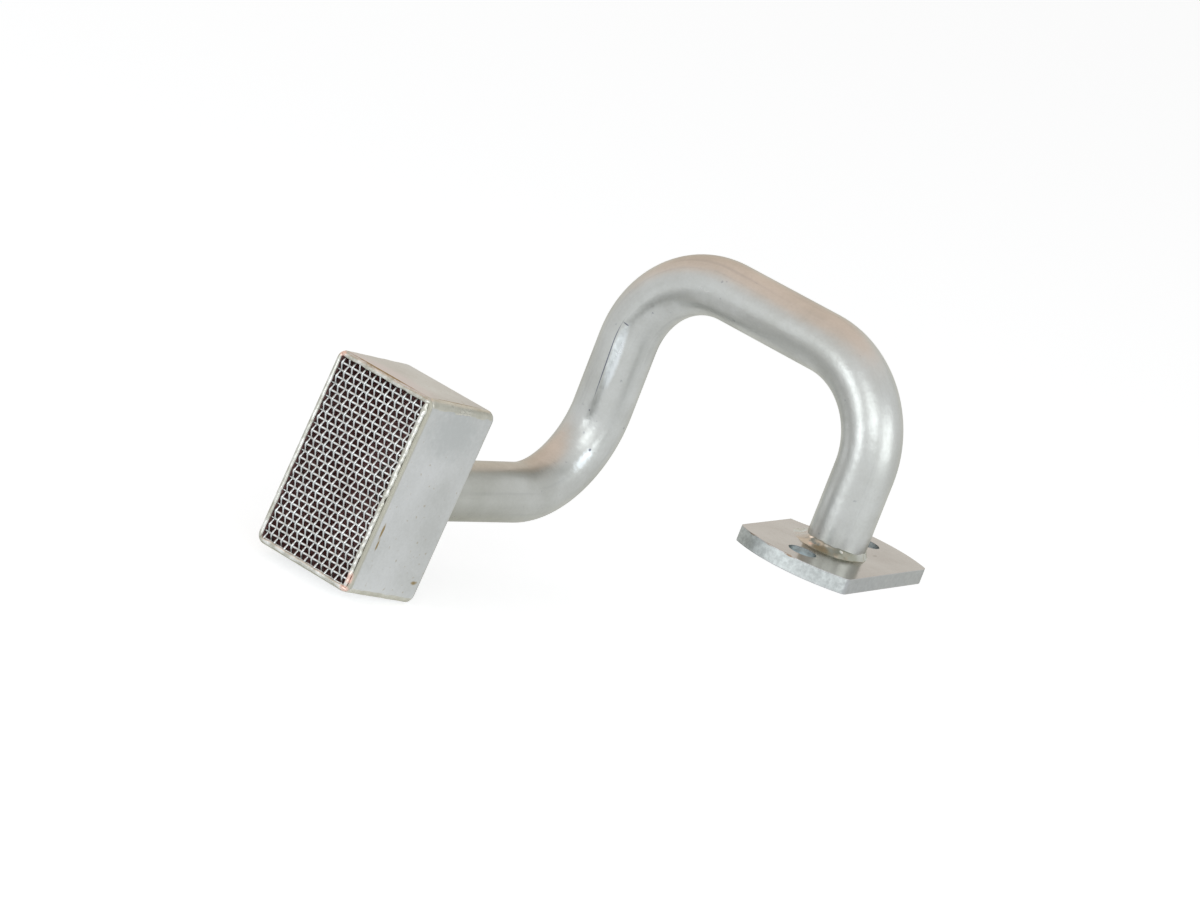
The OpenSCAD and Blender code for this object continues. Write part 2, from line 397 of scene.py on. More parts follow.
def lay_run(bm, start, end, across, width, height, lumps, seed, taper=0.0, wrap=1.0):
    """Run from start to end, width across, height out of the surface; taper widens it towards the start,
    and wrap is the radius of the corner that it lies round: 1 m is as good as flat."""
    along = end - start
    length = along.length
    pace = 0.25 + lumps
    across = across.normalized()
    out = along.cross(across).normalized()
    made = bmesh.ops.create_cone(bm, cap_ends=True, segments=14, radius1=1, radius2=1, depth=2)["verts"]
    sides = dict.fromkeys(
        e for v in made for e in v.link_edges if abs(e.verts[0].co.z - e.verts[1].co.z) > 1)
    bmesh.ops.subdivide_edges(bm, edges=list(sides), cuts=int(length / RUN_STEP))
    for v in (v for v in bm.verts if not v.tag):
        v.tag = True
        share = (v.co.z + 1) / 2
        at = share * length / MM
        swell = 1 + lumps * noise.noise(Vector((at * pace, seed, 0.0)))
        spread = 1 + lumps * noise.noise(Vector((at * pace * 0.6, seed, 5.0))) + taper * (1 - share)
        shift = lumps * 0.35 * width * noise.noise(Vector((at * 0.2, seed, 9.0)))
        end_round = min(1.0, math.sqrt(max(0.0, min(share, 1 - share)) * length / MM + 0.05))
        side = v.co.x * width / 2 * spread * end_round + shift
        lift = v.co.y * height * swell * end_round
        round_by = side / wrap
        ray = out * math.cos(round_by) + across * math.sin(round_by)
        v.co = start + along * share - out * wrap + ray * (wrap + lift)


SEAM_R, PROUD = 2.65 * MM, 0.2 * MM
SEAM_FOOT, SEAM_END = 1.9 * MM, BOX_DEPTH - 0.2 * MM
bm = bmesh.new()
for seed, (sx, sy, width, lumps) in enumerate((
        (-1, 1, 4.2, 0.20), (-1, -1, 3.2, 0.14), (1, 1, 3.2, 0.14), (1, -1, 3.2, 0.14))):
    out = Vector((sx, sy, 0)).normalized()
    turn = Vector((sx * (BOX_LEN / 2 - FOLD), sy * (BOX_W / 2 - FOLD), 0))
    foot = turn + out * SEAM_R + Vector((0, 0, SEAM_FOOT))
    lay_run(bm, foot, foot + Vector((0, 0, SEAM_END - SEAM_FOOT)), Vector((sy, -sx, 0)),
            width * MM, FOLD - SEAM_R + PROUD, lumps, seed + 1, wrap=SEAM_R)
bmesh.ops.transform(bm, matrix=strainer, verts=bm.verts)
seams = hand_over(bm, "corner_braze", "corner_seams", smooth_angle=60)

# %% [markdown]
# The rim of the box carries one run along each side, over the ends of the wires. On the side that faces the
# viewer the run is lumpy and lies beside the mesh, and the sheet's smooth cut edge shows next to it. On the
# other three sides it is thin and more even, and it covers the edge.

# %% Braze round the screen
RIM_Z, RIM_HEIGHT, RIM_TRIM = BOX_DEPTH - 0.05 * MM, 0.45 * MM, 1.3 * MM
bm = bmesh.new()
for seed, (near, far, inward, middle, width, lumps, taper) in enumerate((
        ((-1, 1), (1, 1), (0, -1), 2.15, 1.5, 0.60, 0.30),
        ((-1, -1), (1, -1), (0, 1), 1.05, 1.4, 0.25, 0.0),
        ((-1, -1), (-1, 1), (1, 0), 1.2, 1.5, 0.30, 0.0),
        ((1, -1), (1, 1), (-1, 0), 1.1, 1.4, 0.30, 0.0))):
    step_in = Vector((inward[0], inward[1], 0))
    a, b = (Vector((x * BOX_LEN / 2, y * BOX_W / 2, RIM_Z)) + step_in * middle * MM for x, y in (near, far))
    trim = (b - a).normalized() * RIM_TRIM
    lay_run(bm, a + trim, b - trim, step_in, width * MM, RIM_HEIGHT, lumps, seed + 11, taper)
bmesh.ops.transform(bm, matrix=strainer, verts=bm.verts)
rim_braze = hand_over(bm, "screen_braze_run", "screen_braze", smooth_angle=60)

# %% [markdown]
# ## The woven screen
# The screen is plain-weave wire cloth, about 12 wires to the inch. The wires across the box are nearly
# straight, and the wires along it do the weaving: each goes over one cross wire and under the next, and its
# neighbour does the opposite. A wire is a thin cylinder cut into short lengths and lifted along a wave.

# %% Weave the screen
WIRE_R, PITCH_W, PITCH_L = 0.39 * MM, 2.13 * MM, 2.25 * MM
ACROSS, ALONG = 28, 17
CLOTH_Z, WIRE_STOP = BOX_DEPTH - 0.92 * MM, 2.6 * MM
CRIMP_ALONG, CRIMP_ACROSS = 0.50 * MM, 0.16 * MM


def weave_wire(bm, length, steps, lift, matrix):
    """Wire along X; lift(x) is its height at x."""
    flat = Matrix.Rotation(math.pi / 2, 4, "Y")
    made = bmesh.ops.create_cone(bm, cap_ends=True, segments=8, radius1=WIRE_R, radius2=WIRE_R,
                                 depth=length, matrix=flat)["verts"]
    sides = dict.fromkeys(
        e for v in made for e in v.link_edges if abs(e.verts[0].co.x - e.verts[1].co.x) > length / 2)
    bmesh.ops.subdivide_edges(bm, edges=list(sides), cuts=steps)
    made = [v for v in bm.verts if not v.tag]
    for v in made:
        v.tag = True
        v.co.z += lift(v.co.x)
    bmesh.ops.transform(bm, matrix=matrix, verts=made)


bm = bmesh.new()
cloth = Matrix.Translation((0, 0, CLOTH_Z))
for k in range(ALONG):
    sign = 1 if k % 2 else -1
    place = cloth @ Matrix.Translation((0, (k - (ALONG - 1) / 2) * PITCH_W, 0))
    weave_wire(bm, BOX_LEN - WIRE_STOP, 4 * ACROSS,
               lambda x: sign * CRIMP_ALONG * math.sin(math.pi * x / PITCH_L), place)
for k in range(ACROSS):
    sign = 1 if k % 2 else -1
    row = (k - (ACROSS - 1) / 2) * PITCH_L
    place = cloth @ Matrix.Translation((row, 0, 0)) @ Matrix.Rotation(math.pi / 2, 4, "Z")
    weave_wire(bm, BOX_W - WIRE_STOP, 3 * ALONG,
               lambda x: sign * CRIMP_ACROSS * math.cos(math.pi * x / PITCH_W), place)
bmesh.ops.transform(bm, matrix=strainer, verts=bm.verts)
wires = hand_over(bm, "woven_screen", "screen", smooth_angle=60)

# %% [markdown]
# ## Building finishes from nodes
# Every finish is a Principled BSDF with a few textures in front of it. Short helpers keep that readable: one
# puts a node into a tree and sets or links its inputs by name, one splits a vector, one mixes two colours,
# and two wrap a chain of nodes into a group with named sockets, so that several finishes share it with
# their own values.

# %% Node helpers
def feed(tree, socket, value):
    if isinstance(value, bpy.types.NodeSocket):
        tree.links.new(value, socket)
    else:
        socket.default_value = value


def put(tree, kind, inputs, output=0, **settings):
    """Adds a node, sets or links its inputs, and returns one of its outputs."""
    made = tree.nodes.new("ShaderNode" + kind)
    for key, value in settings.items():
        setattr(made, key, value)
    for key, value in inputs.items():
        feed(tree, made.inputs[key], value)
    return made.outputs[output]


def split(tree, vector):
    parts = tree.nodes.new("ShaderNodeSeparateXYZ")
    tree.links.new(vector, parts.inputs[0])
    return parts.outputs


def sum_of(tree, value, times, plus):
    return put(tree, "Math", {0: value, 1: times, 2: plus}, operation="MULTIPLY_ADD")


def mix(tree, share, a, b):
    made = tree.nodes.new("ShaderNodeMix")
    made.data_type = "RGBA"
    for index, value in ((0, share), (6, a), (7, b)):
        feed(tree, made.inputs[index], value)
    return made.outputs[2]


def start_group(name, inputs, outputs):
    tree = bpy.data.node_groups.new(name, "ShaderNodeTree")
    for socket, kind in inputs:
        tree.interface.new_socket(socket, in_out="INPUT", socket_type="NodeSocket" + kind)
    for socket, kind in outputs:
        tree.interface.new_socket(socket, in_out="OUTPUT", socket_type="NodeSocket" + kind)
    return tree, tree.nodes.new("NodeGroupInput").outputs


def end_group(tree, results):
    out = tree.nodes.new("NodeGroupOutput")
    for key, socket in results.items():
        tree.links.new(socket, out.inputs[key])
    print("group", tree.name, "has", len(tree.nodes), "nodes")
    return tree


def use_group(tree, group, inputs):
    made = tree.nodes.new("ShaderNodeGroup")
    made.node_tree = group
    for key, value in inputs.items():
        feed(tree, made.inputs[key], value)
    return made.outputs


# %% [markdown]
# ## What zinc does everywhere
# Zinc plate is never one grey. It clouds: large soft patches are a little warmer or duller than the rest,
# where the rinse water stood. The first group mixes two tints on slow noise and also hands out the patches,
# so that the same patches can change the roughness.

# %% Group: plating clouds
tree, given = start_group(
    "plating_clouds",
    [("Vector", "Vector"), ("Scale", "Float"), ("Bright Tint", "Color"), ("Dull Tint", "Color")],
    [("Color", "Color"), ("Patches", "Float")])
slow = put(tree, "TexNoise", {"Vector": given["Vector"], "Scale": given["Scale"], "Detail": 3.0})
fine = put(tree, "TexNoise", {"Vector": given["Vector"], "Scale": 1100.0, "Detail": 2.0})
patches = put(tree, "MapRange", {"Value": sum_of(tree, fine, 0.3, slow), "From Min": 0.48, "From Max": 0.85})
clouds = end_group(tree, {
    "Color": mix(tree, patches, given["Bright Tint"], given["Dull Tint"]), "Patches": patches})

# %% [markdown]
# The second group is the skin of the metal: fine lines along one direction, a little grain between them and
# slow waves under both, which make a highlight wander. Drawn tube, rolled plate and folded sheet all have
# such lines, from the die or the rolls. Stretching the pattern makes them: the finish hands in coordinates
# that are squeezed along the way the metal was worked.

# %% Group: worked skin
tree, given = start_group(
    "worked_skin",
    [("Vector", "Vector"), ("Grain Vector", "Vector"), ("Scale", "Float"), ("Wave Scale", "Float")],
    [("Lines", "Float"), ("Height", "Float")])
lines = put(tree, "TexNoise", {"Vector": given["Vector"], "Scale": given["Scale"], "Detail": 4.0,
                               "Roughness": 0.6})
grain = put(tree, "TexNoise", {"Vector": given["Grain Vector"], "Scale": 1500.0, "Detail": 3.0})
waves = put(tree, "TexNoise", {"Vector": given["Grain Vector"], "Scale": given["Wave Scale"], "Detail": 2.5})
height = sum_of(tree, waves, 4.0, sum_of(tree, grain, 1.2, lines))
skin = end_group(tree, {"Lines": lines, "Height": height})

# %% [markdown]
# The third group marks one place: a soft oval round a point, with a ragged edge. Stains, bare braze and
# rubbed places are each one such mark. The coordinates are the part's own, so a mark stays where it belongs
# from every side.

# %% Group: one marked place
tree, given = start_group(
    "marked_place",
    [("Vector", "Vector"), ("Centre", "Vector"), ("Reach", "Vector"), ("Ragged", "Float")],
    [("Mask", "Float")])
offset = put(tree, "VectorMath", {0: given["Vector"], 1: given["Centre"]}, operation="SUBTRACT")
shares = put(tree, "VectorMath", {0: offset, 1: given["Reach"]}, operation="DIVIDE")
away = put(tree, "VectorMath", {0: shares}, output="Value", operation="LENGTH")
edge = put(tree, "TexNoise", {"Vector": given["Vector"], "Scale": 700.0, "Detail": 3.0})
ragged = sum_of(tree, edge, given["Ragged"], away)
mask = put(tree, "MapRange", {"Value": ragged, "From Min": 1.25, "From Max": 0.65},
           interpolation_type="SMOOTHSTEP")
place_mark = end_group(tree, {"Mask": mask})

# %% [markdown]
# ## A finish in one call
# All finishes here share the end of the chain: colour, roughness and a small bump go into a Principled BSDF,
# which is metallic but for the inside, painted dark brown as a film and as painted shade. What is the same
# all over is set on the shader's own sockets, such as a specular tint that keeps the metal's edges from
# turning white, because old zinc is dull at a low angle.

# %% Finish helper
EDGE_TINT, BUMP_DEPTH = (0.82, 0.81, 0.74, 1), 0.05 * MM


def start_finish(name, attribute=None):
    """New material, its tree, and its coordinates: the object's own, or those kept in an attribute."""
    material = bpy.data.materials.new(name)
    material.use_nodes = True
    tree = material.node_tree
    if attribute:
        return material, tree, put(tree, "Attribute", {}, output="Vector", attribute_name=attribute)
    return material, tree, put(tree, "TexCoord", {}, output="Object")


def end_finish(material, colour, roughness, height, bump, metal=1.0):
    tree = material.node_tree
    shader = tree.nodes["Principled BSDF"]
    feed(tree, shader.inputs["Metallic"], metal)
    shader.inputs["Specular Tint"].default_value = EDGE_TINT
    shader.inputs["Specular IOR Level"].default_value = 0.0
    feed(tree, shader.inputs["Base Color"], colour)
    feed(tree, shader.inputs["Roughness"], roughness)
    relief = put(tree, "Bump", {"Height": height, "Strength": bump, "Distance": BUMP_DEPTH})
    feed(tree, shader.inputs["Normal"], relief)
    print("finish", material.name, "has", len(tree.nodes), "nodes")
    return material


def dress(piece, *finishes):
    """Puts finishes into a piece's material places; clearing them would forget which face has which."""
    places = piece.data.materials
    for index, finish in enumerate(finishes):
        if index < len(places):
            places[index] = finish
        else:
            places.append(finish)


def add_marks(tree, here, colour, marks):
    """Lays (tint, centre mm, reach mm, ragged) marks over a colour, one after the other."""
    for tint, centre, reach, ragged in marks:
        mark = use_group(tree, place_mark, {"Vector": here, "Centre": Vector(centre) * MM,
                                            "Reach": Vector(reach) * MM, "Ragged": ragged})
        colour = mix(tree, mark["Mask"], colour, tint)
    return colour


# %% [markdown]
# ## Finish of the tube
# The tube reads its chart attribute, the place of each point before bending. Squeezed along the tube, the
# noise becomes draw lines that follow every bend. A long narrow mark from the bending die lies on the run
# down: a fine dark line with a burnished strip beside it. It is found by its place on the chart too, and so
# are a painted highlight in the third bend, the last run, which is painted darker towards the strainer and
# darker still underneath, where that is painted shade, and the bore, which is painted dark brown, partly as
# a film from the bath and partly as painted shade.

# %% Zinc on drawn tube
SLATE, DARK_INSIDE = (0.13, 0.14, 0.18, 1), (0.40, 0.21, 0.20, 1)
BURNISH_AND_HIGHLIGHT, DARKER_RUN, SHADE_UNDER_RUN = (0.70, 0.74, 0.76, 1), (0.36, 0.36, 0.31, 1), (0.20, 0.20, 0.17, 1)
zinc_tube, tree, unbent = start_finish("zinc_on_tube", attribute="chart")
squeezed = put(tree, "Mapping", {"Vector": unbent, "Scale": (1.0, 1.0, 0.05)})
cloud = use_group(tree, clouds, {"Vector": unbent, "Scale": 70.0, "Bright Tint": (0.53, 0.545, 0.535, 1),
                                 "Dull Tint": (0.46, 0.47, 0.452, 1)})
worked = use_group(tree, skin, {"Vector": squeezed, "Grain Vector": unbent, "Scale": 480.0,
                                "Wave Scale": 300.0})
on_mark = put(tree, "Mapping", {"Vector": unbent, "Location": Vector((-1.3, -9.4, 167.3)) * MM,
                                "Rotation": (0, -0.036, 0)}, vector_type="TEXTURE")
strip = use_group(tree, place_mark, {"Vector": on_mark, "Centre": Vector((-2.1, 0.4, -2)) * MM,
                                     "Reach": Vector((2.0, 2.5, 13)) * MM, "Ragged": 0.3})["Mask"]
nick = put(tree, "TexNoise", {"Vector": unbent, "Scale": 420.0, "Detail": 2.0})
nick = put(tree, "MapRange", {"Value": nick, "From Min": 0.70, "From Max": 0.80, "To Max": 0.45})
draw_lines = put(tree, "MapRange", {"Value": worked["Lines"], "From Min": 0.56, "From Max": 0.75,
                                    "To Max": 0.14})
colour = mix(tree, nick, mix(tree, draw_lines, cloud["Color"], SLATE), SLATE)
colour = mix(tree, strip, colour, BURNISH_AND_HIGHLIGHT)
# The first mark is a painted highlight in the third bend, the second a dark nick.
colour = add_marks(tree, unbent, colour, [
    (BURNISH_AND_HIGHLIGHT, (-7.6, -5.7, 204.5), (2.4, 3.0, 9.0), 0.9),
    (SLATE, (-7.3, -6.1, 199.4), (0.6, 0.8, 1.3), 1.0)])
colour = add_marks(tree, on_mark, colour, [
    (SLATE, (0, 0, 0), (0.19, 1.5, 14), 0.1),
    (SLATE, (-1.2, 0.3, -13.2), (1.5, 1.0, 0.3), 0.5),
    (SLATE, (-5.0, 2.0, -23.5), (0.35, 1.0, 0.35), 0.5),
    (SLATE, (0.1, 0, 17.6), (0.3, 1.0, 0.4), 0.5)])
# The last run is painted darker towards the strainer, and darker still underneath, which is painted shade.
on_chart = split(tree, unbent)
toward_strainer = put(tree, "MapRange", {"Value": on_chart["Z"], "From Min": 215 * MM, "From Max": 280 * MM,
                                "To Max": 0.55})
under = put(tree, "MapRange", {"Value": on_chart["Y"], "From Min": -1 * MM, "From Max": 7 * MM,
                               "To Max": 1.3})
under = put(tree, "Math", {0: under, 1: toward_strainer}, operation="MULTIPLY")
colour = mix(tree, under, mix(tree, toward_strainer, colour, DARKER_RUN), SHADE_UNDER_RUN)
# The bore is painted dark brown, partly as a film from the bath and partly as painted shade.
flat = put(tree, "Mapping", {"Vector": unbent, "Scale": (1.0, 1.0, 0.0)})
from_axis = put(tree, "VectorMath", {0: flat}, output="Value", operation="LENGTH")
bore = put(tree, "MapRange", {"Value": from_axis, "From Min": 9.0 * MM, "From Max": 8.2 * MM})
colour = mix(tree, bore, colour, DARK_INSIDE)
rough = sum_of(tree, cloud["Patches"], 0.12, sum_of(tree, worked["Lines"], 0.18, 0.21))
rough = sum_of(tree, strip, -0.06, rough)
rough = sum_of(tree, bore, 0.3, rough)
end_finish(zinc_tube, colour, rough, worked["Height"], bump=0.5, metal=sum_of(tree, bore, -1.0, 1.0))
dress(tube, zinc_tube)

# %% [markdown]
# ## Finish of the plate
# The flange is cut from rolled bar, flatter and brighter than the tube: its top mirrors the weld and the
# foot of the tube. Roll lines run along the plate, and a pit and a scratch break the shine. Its edges are
# sheared and punched: they are torn rather than smooth, so they scatter the light and look whiter. The two
# straight flanks are the bar's own rolled sides, not torn, and they are painted a darker grey as painted
# shade. The height above the mating face tells the edges from the flat faces, and the distance from the
# middle of the bar tells the flanks.

# %% Zinc on rolled plate
PIT, SCRATCH = (0.10, 0.10, 0.12, 1), (0.16, 0.15, 0.15, 1)
RUSTY, PAINTED_LIT_WALL = (0.28, 0.19, 0.12, 1), (0.55, 0.78, 0.92, 1)
TORN_LOW, TORN_HIGH, FLANK_SHADE = (0.45, 0.48, 0.48, 1), (0.61, 0.65, 0.65, 1), (0.305, 0.31, 0.32, 1)
zinc_plate, tree, here = start_finish("zinc_on_plate")
squeezed = put(tree, "Mapping", {"Vector": here, "Rotation": (0, 0, -PLATE_TURN), "Scale": (1.0, 0.06, 1.0)})
cloud = use_group(tree, clouds, {"Vector": here, "Scale": 60.0, "Bright Tint": (0.485, 0.480, 0.495, 1),
                                 "Dull Tint": (0.425, 0.418, 0.43, 1)})
worked = use_group(tree, skin, {"Vector": squeezed, "Grain Vector": here, "Scale": 420.0,
                                "Wave Scale": 150.0})
on_bar = split(tree, put(tree, "Mapping", {"Vector": here, "Rotation": (0, 0, -PLATE_TURN)}))
from_axis = put(tree, "Math", {0: on_bar["X"]}, operation="ABSOLUTE")
# The flanks are painted a darker grey, which is painted shade.
flank = put(tree, "MapRange", {"Value": from_axis, "From Min": PLATE_W / 2 - 0.8 * MM,
                               "From Max": PLATE_W / 2 - 0.4 * MM, "To Max": 0.65})
from_middle = put(tree, "Math", {0: on_bar["Z"], 1: PLATE_T / 2}, operation="SUBTRACT")
from_middle = put(tree, "Math", {0: from_middle}, operation="ABSOLUTE")
sheared = put(tree, "MapRange", {"Value": from_middle, "From Min": PLATE_T / 2 - 0.01 * MM,
                                 "From Max": PLATE_T / 2 - 0.3 * MM})
tear = put(tree, "TexNoise", {"Vector": here, "Scale": 650.0, "Detail": 5.0, "Roughness": 0.65})
torn = put(tree, "MapRange", {"Value": tear, "From Min": 0.38, "From Max": 0.62})
tear_tint = mix(tree, flank, mix(tree, torn, TORN_LOW, TORN_HIGH), FLANK_SHADE)
colour = add_marks(tree, here, mix(tree, sheared, cloud["Color"], tear_tint), [
    (PIT, (-12.8, -1.9, 5), (0.7, 0.9, 0.8), 0.4),
    (SCRATCH, (6.3, 14.0, 5), (0.35, 1.6, 0.8), 0.5),
    (RUSTY, (-8.5, -32.6, 4.8), (3.5, 0.9, 0.4), 0.9),
    (RUSTY, (-1.5, -33.6, 4.8), (4.0, 0.7, 0.4), 0.9),
    (RUSTY, (6.0, -33.2, 4.8), (4.0, 0.8, 0.4), 0.9),
    # Painted reflection: the front bolt hole's wall is tinted pale blue as if lit.
    (PAINTED_LIT_WALL, (3.33, -22.25, 2.6), (4.8, 4.8, 2.2), 0.2),
    # Painted shade: the back bolt hole's wall is tinted slate.
    (SLATE, (-3.33, 22.25, 2.6), (4.8, 4.8, 2.2), 0.2)])
rough = sum_of(tree, cloud["Patches"], 0.10, sum_of(tree, worked["Lines"], 0.12, 0.06))
rough = sum_of(tree, sheared, 0.18, rough)
height = sum_of(tree, sum_of(tree, tear, sheared, 0.0), 2.5, worked["Height"])
end_finish(zinc_plate, colour, rough, height, bump=0.10)
dress(flange, zinc_plate)

# %% [markdown]
# ## Finish of the folded box
# The sheet is duller and more even than the tube. It has small specks, a greyer patch high on one side, a
# brown streak of flux near that side's front edge and a smaller stain low on it. The metal is bare and
# copper-pink at two front corners, where braze shows through the zinc. A Mapping node of the Texture kind
# turns the part's own coordinates into the strainer's, so each mark is given by its place on the box.

# %% Zinc on folded sheet
def on_box(tree, here):
    return put(tree, "Mapping", {"Vector": here, "Location": strainer.translation,
                                 "Rotation": strainer.to_euler()}, vector_type="TEXTURE")


COPPER, FLUX, OLIVE = (0.74, 0.55, 0.48, 1), (0.30, 0.23, 0.12, 1), (0.44, 0.435, 0.375, 1)
GREYED, HAZE = (0.475, 0.495, 0.495, 1), (0.60, 0.575, 0.59, 1)
copper_spots = [
    (COPPER, (-30.8, -17.6, 35.2), (1.5, 1.6, 1.4), 0.5),
    (COPPER, (27.4, 17.8, 35.0), (2.7, 1.7, 1.5), 0.5),
    (COPPER, (30.8, 17.4, 35.0), (1.4, 2.2, 1.5), 0.5)]
zinc_sheet, tree, here = start_finish("zinc_on_sheet")
local = on_box(tree, here)
squeezed = put(tree, "Mapping", {"Vector": local, "Scale": (0.12, 1.0, 1.0)})
cloud = use_group(tree, clouds, {"Vector": local, "Scale": 45.0, "Bright Tint": (0.59, 0.606, 0.611, 1),
                                 "Dull Tint": (0.50, 0.514, 0.508, 1)})
worked = use_group(tree, skin, {"Vector": squeezed, "Grain Vector": local, "Scale": 360.0,
                                "Wave Scale": 110.0})
speck = put(tree, "TexNoise", {"Vector": local, "Scale": 620.0, "Detail": 1.0})
speck = put(tree, "MapRange", {"Value": speck, "From Min": 0.69, "From Max": 0.78, "To Max": 0.5})
cut_edge = put(tree, "MapRange", {"Value": split(tree, local)["Z"], "From Min": BOX_DEPTH - 1.2 * MM,
                                  "From Max": BOX_DEPTH - 0.3 * MM})
colour = mix(tree, cut_edge, mix(tree, speck, cloud["Color"], FLUX), OLIVE)
colour = add_marks(tree, local, colour, copper_spots + [
    (GREYED, (-23.0, 20.0, 18.0), (13.0, 2.0, 20.0), 0.7),
    (HAZE, (-32.0, 0.0, 34.0), (1.5, 24.0, 14.0), 0.6),
    (FLUX, (-31.9, -1.0, 34.7), (0.7, 18.0, 0.55), 0.6),
    (FLUX, (-31.9, 16.6, 19.0), (0.8, 0.45, 17.0), 0.6),
    (FLUX, (10.8, 19.5, 31.8), (4.0, 1.0, 0.8), 0.6),
    (FLUX, (15.2, 19.5, 31.3), (3.0, 1.0, 0.6), 0.6),
    (FLUX, (24.9, 19.5, 5.2), (1.1, 1.0, 2.4), 0.9)])
rough = sum_of(tree, cloud["Patches"], 0.14, sum_of(tree, worked["Lines"], 0.10, 0.27))
rough = sum_of(tree, cut_edge, 0.25, rough)
end_finish(zinc_sheet, colour, rough, worked["Height"], bump=0.16)

# %% [markdown]
# Inside, the box is dark: brazing heat has browned the steel and little zinc gets in, and the dark brown is
# also painted shade where the screen keeps the light out. The inner faces were given the second material
# place when the box was folded.

# %% Inside of the box
# The inside's dark brown is partly a browned film and partly painted shade.
dark_inside, tree, here = start_finish("brown_film_and_shade_inside")
cloud = use_group(tree, clouds, {"Vector": here, "Scale": 90.0, "Bright Tint": DARK_INSIDE,
                                 "Dull Tint": (0.24, 0.12, 0.12, 1)})
worked = use_group(tree, skin, {"Vector": here, "Grain Vector": here, "Scale": 300.0, "Wave Scale": 150.0})
rough = sum_of(tree, cloud["Patches"], 0.2, 0.7)
end_finish(dark_inside, cloud["Color"], rough, worked["Height"], bump=0.2, metal=0.0)
dress(box, zinc_sheet, dark_inside)
print("faces inside the box:", sum(f.material_index == INSIDE for f in box.data.polygons))

# %% [markdown]
# ## Finish of weld, braze and wire
# Over weld metal the zinc takes a dull, slightly green tint, and over the corner seams a paler one. The
# braze round the screen is nearly white where zinc covers it and olive in its hollows, with copper at
# the bare corners. The wires are bright and almost smooth. These pieces are small and need only clouds,
# a skin and marks, so one helper makes all four finishes.

# %% Weld, braze and wire
GLINT, GREEN_GREY = (0.93, 0.94, 0.92, 1), (0.34, 0.35, 0.295, 1)
BLUE_GREY, BROWNED = (0.49, 0.55, 0.58, 1), (0.38, 0.345, 0.26, 1)


def plated(name, bright, dull, scale, waves, rough, bump, marks=(), boxed=False):
    """Finish of a small piece; boxed marks are given by their place on the strainer."""
    finish, tree, here = start_finish(name)
    cloud = use_group(tree, clouds, {"Vector": here, "Scale": scale, "Bright Tint": bright,
                                     "Dull Tint": dull})
    worked = use_group(tree, skin, {"Vector": here, "Grain Vector": here, "Scale": 2 * waves,
                                    "Wave Scale": waves})
    colour = add_marks(tree, on_box(tree, here) if boxed else here, cloud["Color"], marks)
    rough = sum_of(tree, cloud["Patches"], 0.13, rough)
    return end_finish(finish, colour, rough, worked["Height"], bump=bump)


weld_marks = [
    (BLUE_GREY, (-9.0, -7.5, 6.0), (6.0, 5.0, 4.0), 0.3),
    (BROWNED, (3.5, -12.3, 5.6), (5.0, 3.0, 2.0), 0.6),
    (COPPER, (-1.0, -12.3, 6.4), (1.5, 1.2, 1.5), 0.5),
    (GREEN_GREY, (10.5, -6.5, 6.0), (6.0, 6.0, 4.0), 0.3),
    # The three GLINT marks are painted highlights on the weld's upper edge.
    (GLINT, (3.1, -9.9, 6.9), (1.1, 0.9, 0.7), 0.5),
    (GLINT, (7.2, -7.4, 6.6), (1.0, 0.9, 0.7), 0.6),
    (GLINT, (-3.6, -9.6, 7.0), (1.7, 0.9, 0.7), 0.6)]
weld_finish = plated("plated_weld", bright=(0.50, 0.515, 0.49, 1), dull=(0.41, 0.415, 0.37, 1),
                     scale=160.0, waves=300.0, rough=0.15, bump=0.4, marks=weld_marks)
seam_finish = plated("plated_seam", bright=(0.58, 0.575, 0.52, 1), dull=(0.46, 0.455, 0.395, 1),
                     scale=160.0, waves=220.0, rough=0.25, bump=0.2)
braze_finish = plated("plated_braze", bright=(0.73, 0.74, 0.72, 1), dull=(0.40, 0.395, 0.34, 1),
                      scale=300.0, waves=450.0, rough=0.26, bump=0.4, marks=copper_spots, boxed=True)
wire_finish = plated("bright_wire", bright=(0.63, 0.665, 0.67, 1), dull=(0.51, 0.53, 0.53, 1),
                     scale=120.0, waves=450.0, rough=0.22, bump=0.1)
for piece, finish in ((foot_weld, weld_finish), (neck_weld, weld_finish), (seams, seam_finish),
                      (rim_braze, braze_finish), (wires, wire_finish)):
    dress(piece, finish)

# %% [markdown]
# ## The camera
# The photograph was taken from a good distance with a long lens, from the screen's side and a little above,
# with the camera rolled so that the part leans. The numbers come from fitting a camera to the part's
# outline: a direction, a roll, a distance, and where the origin falls in a 1200 by 900 picture.

# %% Place the camera
AZIMUTH, ELEVATION, ROLL = (math.radians(a) for a in (33.24, 13.12, 21.2))
FOCAL_PX, DISTANCE, ORIGIN_PX = 5900.0, 1803.7 * MM, (828.58, 561.68)
PICTURE, SENSOR = (1200, 900), 36
back = Vector((math.sin(AZIMUTH) * math.cos(ELEVATION), -math.cos(AZIMUTH) * math.cos(ELEVATION),
               math.sin(ELEVATION)))
level = Vector((math.cos(AZIMUTH), math.sin(AZIMUTH), 0))
upward = back.cross(level)
right = math.cos(ROLL) * level + math.sin(ROLL) * upward
top = math.cos(ROLL) * upward - math.sin(ROLL) * level
aside, below = (whole / 2 - origin for whole, origin in zip(PICTURE, ORIGIN_PX))
spot = (right * aside - top * below) * DISTANCE / FOCAL_PX + back * DISTANCE
camera = bpy.data.objects.new("camera", bpy.data.cameras.new("camera"))
camera.data.sensor_width = SENSOR
camera.data.lens = FOCAL_PX / PICTURE[0] * SENSOR
camera.data.clip_start, camera.data.clip_end = 0.05, 20
camera.matrix_world = Matrix((right, top, back)).transposed().to_4x4()
camera.location = spot
scene.collection.objects.link(camera)
scene.camera = camera
print("camera at", [round(x, 3) for x in spot], "with a lens of", round(camera.data.lens, 1), "mm")

